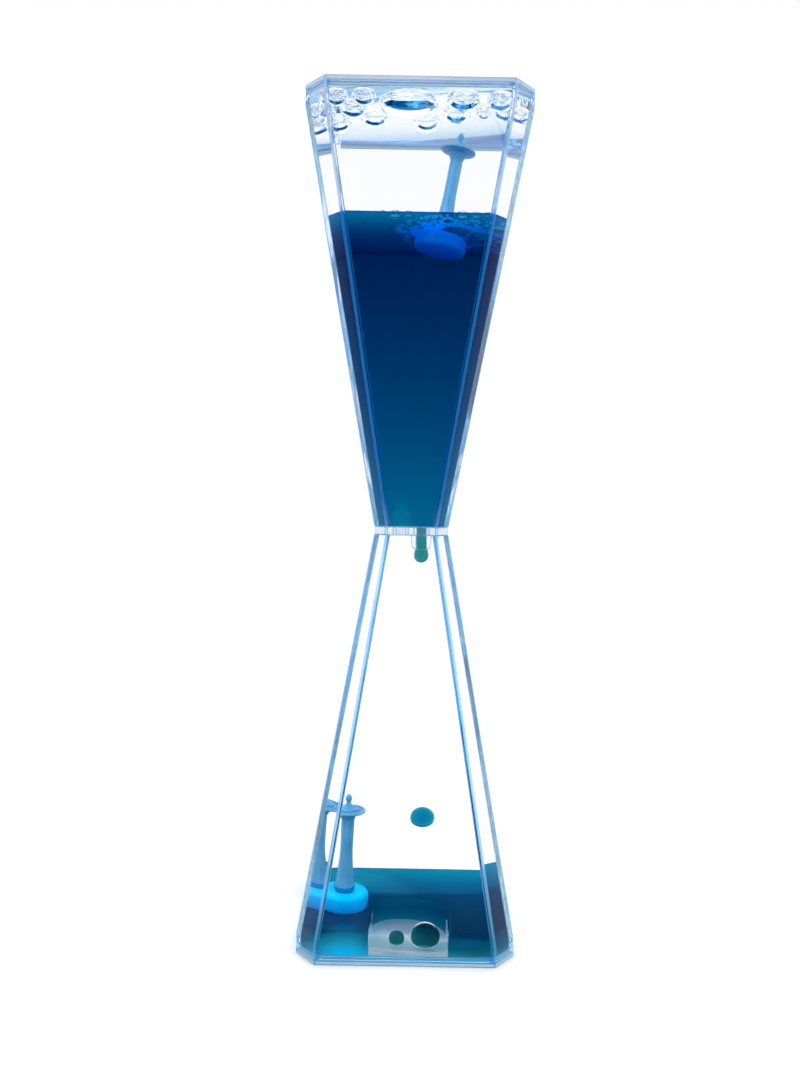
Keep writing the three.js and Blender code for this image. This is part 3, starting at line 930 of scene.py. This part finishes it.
def oilBlock(name, low, high):
    film = water["wallFilm"] / 2
    steps = [(low, insideAt(low, film))]
    if low < case["endBand"]:
        steps.append((case["endBand"], insideAt(case["endBand"], film)))
    if high > case["height"] - case["endBand"]:
        steps.append((case["height"] - case["endBand"], insideAt(high, film)))
    steps.append((high, insideAt(high, film)))
    piece = standingBlock(name, steps)
    roundEdges(piece, oil["edgeRound"])
    tidyMesh(piece)
    piece.data.materials.append(liquidSkins["clearOil"])
    piece.visible_shadow = False
    return piece


upperOil = oilBlock("upperOil", waterLevel + oil["gap"], ceiling - oil["gap"])
lowerOil = oilBlock("lowerOil", floorTop + oil["gap"], dividerBottom - oil["gap"])
place(upperOil, "case", "clear_oil", "upper_clear_oil")
place(lowerOil, "case", "clear_oil", "lower_clear_oil")


drops = {
    "hangRadius": 1.62, "hangWidest": 0.52, "boreGap": 0.04,
    "fullness": 0.05,  # of the falling one, which is wider below than above
    "shrink": 1.001, "floorGap": 0.05,
}


def hangingDrop():
    radius, stem = drops["hangRadius"], nozzle["bore"] - drops["boreGap"]
    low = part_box("hanging_drop")[0].z / mm
    widest = low + drops["hangWidest"] * (nozzleTip - low)
    profile = bowlProfile(radius, low, widest) + [
        (radius - 0.02, widest + 0.5), (radius - 0.2, nozzleTip - 0.3),
        (stem + 0.08, nozzleTip - 0.05), (stem, nozzleTip + 0.1), (stem, dividerTop)]
    piece = turnedPiece("hangingDrop", profile, (nozzle["offset"], 0), 40)
    tidyMesh(piece, roundSmooth)
    piece.data.materials.append(liquidSkins["dyedPaleDrop"])
    return piece


def fallingDrop():
    centre, radius, height = nodePlace("falling_drop")
    profile = ballProfile(
        radius / drops["shrink"], centre.z, height / 2, 20, drops["fullness"])
    piece = turnedPiece("fallingDrop", profile, (centre.x, centre.y), 44)
    tidyMesh(piece, roundSmooth)
    piece.data.materials.append(liquidSkins["dyedDrop"])
    return piece


def lyingDrop(number):
    centre, radius, height = nodePlace(f"loose_drop_{number}")
    low = floorTop + drops["floorGap"]
    profile = [
        (radius * 0.82, low), (radius * 0.95, low + 0.12 * height),
        (radius, low + 0.3 * height)]
    profile += domeProfile(radius, low + 0.36 * height, low + height)
    piece = turnedPiece(f"looseDrop{number}", profile, (centre.x, centre.y), 36)
    tidyMesh(piece, roundSmooth)
    piece.data.materials.append(liquidSkins["dyedPaleDrop"])
    return piece


place(hangingDrop(), "case", "dyed_water", "hanging_drop")
place(fallingDrop(), "drop", "dyed_water", "falling_drop")
for number in (1, 2):
    place(lyingDrop(number), "case", "dyed_water", f"loose_drop_{number}")
print("liquids ready")


# Floating towers

tower = {
    "floatRadius": 5.35, "floatHeight": 3.1, "floatRound": 0.5, "lipRound": 0.22,
    "socket": 1.95, "socketDepth": 2.3,
    "foot": 2.15, "waist": 1.2, "waistAt": 0.62, "collar": 2.1,
    "rib": 0.16, "ribRound": 0.06,
    "ribTurn": 30, "ribHalf": 12,  # middle and half width in degrees
    "deckHeight": 20.2, "deckRadius": 3.6, "deckRim": 0.7,
    "cabin": 2.1, "cabinHeight": 0.9, "mast": 0.55, "mastHeight": 2.6,
    "tilt": {"upper": 10, "lower": 2},
}


def floatBase():
    radius, height, edge = tower["floatRadius"], tower["floatHeight"], tower["floatRound"]
    piece = turnedPiece("floatBase", [
        (radius - edge - 0.6, 0.12), (radius - edge - 0.5, 0), (radius - edge, 0), (radius, edge),
        (radius, height - edge), (radius - edge, height), (tower["foot"] + 0.9, height),
        (tower["foot"] + 0.7, height - 0.2), (tower["foot"] + 0.2, height - 0.2)], (0, 0), 64)
    cutAway(piece, turnedPiece("socketTool", [
        (tower["socket"], height - tower["socketDepth"]),
        (tower["socket"], height + 1)], (0, 0), 48))
    roundEdges(piece, tower["lipRound"], 3, 25)
    return piece


def towerColumn():
    foot, waist, collar = tower["foot"], tower["waist"], tower["collar"]
    low, high = tower["floatHeight"] + 0.02, tower["deckHeight"] - 0.02
    rise = high - low
    profile = [
        (foot - 0.15, low - 1.0), (foot - 0.3, low - 0.05), (foot + 0.1, low),
        (foot + 0.1, low + 0.4)]
    for step in range(1, 15):
        share = step / 14
        narrowing = 1 - (1 - min(share / tower["waistAt"], 1)) ** 1.7
        profile.append((foot + (waist - foot) * narrowing, low + 0.4 + (0.9 * rise - 0.4) * share))
    profile += [
        (waist + 0.25, low + 0.94 * rise), (collar - 0.25, low + 0.985 * rise), (collar, high)]
    piece = turnedPiece("towerColumn", profile, (0, 0), 48)
    openMesh(piece)

    def onRib(p, n):
        # three ribs, a third of a turn apart
        away = math.degrees(math.atan2(p.y, p.x)) % 120 - tower["ribTurn"]
        onSide = abs(n.z) < 0.5 and low + 0.5 < p.z < low + 0.9 * rise
        return onSide and abs(away) < tower["ribHalf"]

    pick("FACE", onRib)
    bpy.ops.mesh.extrude_region_shrink_fatten(
        TRANSFORM_OT_shrink_fatten={"value": tower["rib"] * mm})
    closeMesh()
    roundEdges(piece, tower["ribRound"], 2, 35)
    return piece


def towerDeck():
    # a dished deck with a raised rim, and the small cabin on it
    radius, base, cabin, mast = (
        tower["deckRadius"], tower["deckHeight"], tower["cabin"], tower["mast"])
    top = base + tower["deckRim"]
    cabinTop = top + tower["cabinHeight"]
    return turnedPiece("towerDeck", [
        (tower["collar"], base), (radius * 0.8, base + 0.1), (radius - 0.12, base + 0.28),
        (radius, base + 0.42), (radius - 0.05, top - 0.02), (radius - 0.2, top),
        (radius - 0.5, top), (radius - 0.6, top - 0.22), (radius - 1.0, top - 0.24),
        (radius - 1.1, top - 0.02), (radius - 1.3, top), (cabin, top),
        (cabin - 0.05, top + 0.35), (cabin - 0.3, top + 0.45), (cabin - 0.6, top + 0.5),
        (cabin - 0.75, cabinTop - 0.2), (mast + 0.5, cabinTop - 0.05),
        (mast + 0.3, cabinTop)], (0, 0), 56)


def towerMast():
    foot = tower["deckHeight"] + tower["deckRim"] + tower["cabinHeight"] + 0.02
    mast, height = tower["mast"], tower["mastHeight"]
    return turnedPiece("towerMast", [
        (mast + 0.3, foot), (mast + 0.12, foot + 0.15), (mast - 0.08, foot + 0.5),
        (mast - 0.12, foot + 0.9), (mast, foot + 1.2), (mast + 0.1, foot + 1.55),
        (mast + 0.06, foot + 1.9), (mast - 0.1, foot + 2.2), (mast - 0.3, foot + 2.45),
        (0.08, foot + height)], (0, 0), 32)


def standTower(which):
    # every piece is made upright, then leaned and set on the water with the rest
    tilt = math.radians(tower["tilt"][which])
    centre = nodePlace(f"{which}_float_base")[0]
    lean = Matrix.Rotation(tilt, 4, "Y")
    origin = centre - lean @ Vector((0, 0, tower["floatHeight"] / 2))
    parts = {
        "float_base": (floatBase(), which + "FloatBlue", "float_plastic"),
        "tower_column": (towerColumn(), "towerPaleBlue", "tower_plastic"),
        "tower_deck": (towerDeck(), "towerPaleBlue", "tower_plastic"),
        "tower_mast": (towerMast(), "towerPaleBlue", "tower_plastic"),
    }
    for node, (piece, skin, slot) in parts.items():
        first, second = node.split("_")
        piece.name = which + first.title() + second.title()
        piece.matrix_world = Matrix.Translation(origin * mm) @ lean
        fixPlace(piece)
        tidyMesh(piece, 35)
        piece.data.materials.clear()
        piece.data.materials.append(mouldedSkins[skin])
        place(piece, which + "_figure", slot, f"{which}_{node}")
    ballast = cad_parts[f"{which}_float_ballast"]
    ballast.data.materials.clear()
    ballast.data.materials.append(mouldedSkins["ballastSteel"])


for which in ("upper", "lower"):
    standTower(which)
print("towers ready")


# Froth round the upper float

froth = {
    "count": 760, "seed": 11, "sizes": (0.14, 0.5), "flatness": 0.8, "wallGap": 0.6,
    "reach": (0.7, 2.2),  # from the float's middle, in its radius
    "drift": 2.6,  # to the right of it
    "sink": 0.35,  # how far the bubbles hang down into the water, in their own radius
}


def frothPiece():
    rng = random.Random(froth["seed"])
    centre = nodePlace("upper_float_base")[0]
    width, depth, _ = insideAt(waterLevel, froth["wallGap"])
    level = waterLevel - water["dip"]
    bubbles = []
    for _ in range(froth["count"]):
        turn = rng.uniform(0, 2 * math.pi)
        reach = rng.uniform(*froth["reach"])
        x = centre.x + tower["floatRadius"] * reach * math.cos(turn) + froth["drift"]
        y = centre.y + tower["floatRadius"] * reach * math.sin(turn)
        radius = rng.uniform(*froth["sizes"])
        if abs(x) > width / 2 - radius or abs(y) > depth / 2 - radius:
            continue
        if any(math.hypot(x - bigX, y - bigY) < big + radius for bigX, bigY, big in surfaceBubbles):
            continue  # a larger bubble lies there
        clearSelection()
        bpy.ops.mesh.primitive_ico_sphere_add(
            subdivisions=2, radius=radius * mm,
            location=(x * mm, y * mm, (level - radius * froth["sink"]) * mm))
        bubble = bpy.context.object
        bubble.scale = (1, 1, froth["flatness"])
        fixPlace(bubble)
        bubbles.append(bubble)
    clearSelection()
    for bubble in bubbles:
        bubble.select_set(True)
    bpy.context.view_layer.objects.active = bubbles[0]
    bpy.ops.object.join()
    piece = bpy.context.object
    piece.name = "surfaceFroth"
    bpy.ops.object.shade_smooth()
    piece.data.materials.append(liquidSkins["fineFroth"])
    piece.visible_shadow = False
    return piece


place(frothPiece(), "case", "bubble_air")
print("froth ready")


# Floor, light and camera

studio = {
    "floorSize": 6, "floorDrop": 0.0001, "floorColour": (0.9, 0.9, 0.9),
    "nearFloor": 0.12, "farFloor": 0.34,  # the floor fades to white between these distances
    "worldLight": 0.75, "bounces": 24,
    "lamps": [
        # name, place, aimed at, size, watts
        ("keySoftbox", (-0.55, -0.55, 0.75), (0, 0, 0.09), (0.5, 0.5), 4.0),
        ("sideSoftbox", (0.7, -0.2, 0.45), (0, 0, 0.09), (0.25, 0.7), 2.0),
        ("backSoftbox", (-0.25, 0.75, 0.6), (0, 0, 0.1), (0.6, 0.4), 2.5),
    ],
}


def seenDirectly(nodes, links):
    # 1 where the camera, a reflection or glass looks at the background
    rays = nodes.new("ShaderNodeLightPath").outputs
    seen = mathNode(nodes, links, "MAXIMUM", rays["Is Camera Ray"], rays["Is Glossy Ray"])
    return mathNode(nodes, links, "MAXIMUM", seen, rays["Is Transmission Ray"])


def studioWorld():
    world = bpy.data.worlds.new("studioWorld")
    bpy.context.scene.world = world
    world.use_nodes = True
    nodes, links = world.node_tree.nodes, world.node_tree.links
    light = nodes["Background"]
    light.inputs["Strength"].default_value = studio["worldLight"]
    light.inputs["Color"].default_value = (1, 1, 1, 1)
    white = nodes.new("ShaderNodeBackground")
    white.inputs["Color"].default_value = (1, 1, 1, 1)
    mix = nodes.new("ShaderNodeMixShader")
    links.new(seenDirectly(nodes, links), mix.inputs["Fac"])
    links.new(light.outputs["Background"], mix.inputs[1])
    links.new(white.outputs["Background"], mix.inputs[2])
    links.new(mix.outputs["Shader"], nodes["World Output"].inputs["Surface"])


def studioFloor():
    clearSelection()
    bpy.ops.mesh.primitive_plane_add(
        size=studio["floorSize"], location=(0, 0, -studio["floorDrop"]))
    floor = bpy.context.object
    floor.name = "studioFloor"
    fixPlace(floor)
    material, nodes, links, shader = newMaterial("paleFloor")
    shader.inputs["Base Color"].default_value = (*studio["floorColour"], 1)
    shader.inputs["Roughness"].default_value = 0.9
    shader.inputs["Specular IOR Level"].default_value = 0
    where = nodes.new("ShaderNodeTexCoord")
    length = nodes.new("ShaderNodeVectorMath")
    length.operation = "LENGTH"
    fade = nodes.new("ShaderNodeMapRange")
    fade.interpolation_type = "SMOOTHSTEP"
    fade.inputs["From Min"].default_value = studio["nearFloor"]
    fade.inputs["From Max"].default_value = studio["farFloor"]
    white = nodes.new("ShaderNodeEmission")
    mix = nodes.new("ShaderNodeMixShader")
    links.new(where.outputs["Object"], length.inputs[0])
    links.new(length.outputs["Value"], fade.inputs["Value"])
    seen = seenDirectly(nodes, links)
    far = mathNode(nodes, links, "MULTIPLY", fade.outputs["Result"], seen)
    links.new(far, mix.inputs["Fac"])
    links.new(shader.outputs["BSDF"], mix.inputs[1])
    links.new(white.outputs["Emission"], mix.inputs[2])
    links.new(mix.outputs["Shader"], nodes["Material Output"].inputs["Surface"])
    floor.data.materials.append(material)


def studioLamps():
    for name, spot, aim, (wide, high), watts in studio["lamps"]:
        lamp = bpy.data.lights.new(name, "AREA")
        lamp.shape = "RECTANGLE"
        lamp.size, lamp.size_y = wide, high
        lamp.energy = watts
        holder = bpy.data.objects.new(name, lamp)
        bpy.context.collection.objects.link(holder)
        holder.location = spot
        holder.rotation_euler = (Vector(aim) - Vector(spot)).to_track_quat("-Z", "Y").to_euler()
        holder.visible_camera = False
        holder.visible_transmission = False


camera = {
    "place": (-0.0025, -0.17526, 0.098285), "pitch": -3, "roll": 1,
    "lens": 26, "sensor": 36, "clipStart": 0.01,
}


def placeCamera():
    data = bpy.data.cameras.new("photoCamera")
    data.lens = camera["lens"]
    data.sensor_width = camera["sensor"]
    data.clip_start = camera["clipStart"]
    holder = bpy.data.objects.new("photoCamera", data)
    bpy.context.collection.objects.link(holder)
    turn = Matrix.Rotation(math.radians(90 + camera["pitch"]), 4, "X")
    roll = Matrix.Rotation(math.radians(camera["roll"]), 4, "Z")
    holder.matrix_world = Matrix.Translation(Vector(camera["place"])) @ turn @ roll
    bpy.context.scene.camera = holder


studioWorld()
studioFloor()
studioLamps()
placeCamera()
scene = bpy.context.scene
scene.view_settings.view_transform = "Standard"
scene.cycles.max_bounces = studio["bounces"]
scene.cycles.transmission_bounces = studio["bounces"]
scene.cycles.glossy_bounces = studio["bounces"]
print("studio ready")
